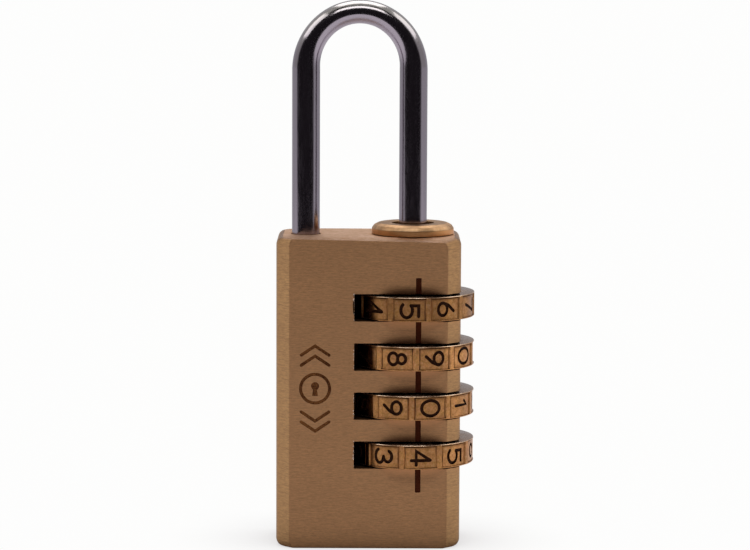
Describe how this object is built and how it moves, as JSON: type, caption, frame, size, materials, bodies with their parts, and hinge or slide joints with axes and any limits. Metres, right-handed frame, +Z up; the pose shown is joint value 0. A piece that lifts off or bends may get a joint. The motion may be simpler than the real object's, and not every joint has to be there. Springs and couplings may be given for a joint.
{
  "type": "combination padlock",
  "caption": "Small solid brass combination padlock with numbered dials set in slots, a chromed wire shackle and a flanged brass collar.",
  "frame": {"origin": "centre of the body's flat bottom face", "axes": "+X to the right of the front face, towards the dials; +Y from the front face to the back; +Z up along the shackle legs"},
  "size_m": [0.0216, 0.0136, 0.0593],
  "materials": {
    "brushed_brass": "brushed, slightly tarnished",
    "turned_brass": "turned, satin",
    "dial_brass": "stamped, worn, dark oxide in the recesses",
    "polished_chrome": "polished",
    "spring_steel": "bright drawn steel"
  },
  "bodies": {
    "case": {"lock_body": "brushed_brass", "shackle_collar": "turned_brass", "bottom_plug": "turned_brass", "stack_spring": "spring_steel", "spring_washer": "spring_steel", "detent_spring_1": "spring_steel", "detent_spring_2": "spring_steel", "detent_spring_3": "spring_steel", "detent_spring_4": "spring_steel"},
    "shackle": {"shackle": "polished_chrome"},
    "dial_1": {"dial_1": "dial_brass", "code_sleeve_1": "turned_brass"},
    "dial_2": {"dial_2": "dial_brass", "code_sleeve_2": "turned_brass"},
    "dial_3": {"dial_3": "dial_brass", "code_sleeve_3": "turned_brass"},
    "dial_4": {"dial_4": "dial_brass", "code_sleeve_4": "turned_brass"},
    "ball_1": {"detent_ball_1": "spring_steel"},
    "ball_2": {"detent_ball_2": "spring_steel"},
    "ball_3": {"detent_ball_3": "spring_steel"},
    "ball_4": {"detent_ball_4": "spring_steel"}
  },
  "joints": [
    {"name": "shackle_lift", "type": "slide", "parent": "case", "child": "shackle", "axis": [0, 0, 1], "range_m": [0, 0.00536]},
    {"name": "dial_1_turn", "type": "hinge", "parent": "case", "child": "dial_1", "pos_m": [0.0048, 0, 0.02629], "axis": [0, 0, 1], "continuous": true},
    {"name": "dial_2_turn", "type": "hinge", "parent": "case", "child": "dial_2", "pos_m": [0.0048, 0, 0.02093], "axis": [0, 0, 1], "continuous": true},
    {"name": "dial_3_turn", "type": "hinge", "parent": "case", "child": "dial_3", "pos_m": [0.0048, 0, 0.01558], "axis": [0, 0, 1], "continuous": true},
    {"name": "dial_4_turn", "type": "hinge", "parent": "case", "child": "dial_4", "pos_m": [0.0048, 0, 0.01022], "axis": [0, 0, 1], "continuous": true},
    {"name": "ball_1_press", "type": "slide", "parent": "case", "child": "ball_1", "axis": [-1, 0, 0], "range_m": [0, 0.00025], "stiffness_N_per_m": 40, "deforming": ["detent_spring_1"]},
    {"name": "ball_2_press", "type": "slide", "parent": "case", "child": "ball_2", "axis": [-1, 0, 0], "range_m": [0, 0.00025], "stiffness_N_per_m": 40, "deforming": ["detent_spring_2"]},
    {"name": "ball_3_press", "type": "slide", "parent": "case", "child": "ball_3", "axis": [-1, 0, 0], "range_m": [0, 0.00025], "stiffness_N_per_m": 40, "deforming": ["detent_spring_3"]},
    {"name": "ball_4_press", "type": "slide", "parent": "case", "child": "ball_4", "axis": [-1, 0, 0], "range_m": [0, 0.00025], "stiffness_N_per_m": 40, "deforming": ["detent_spring_4"]}
  ]
}
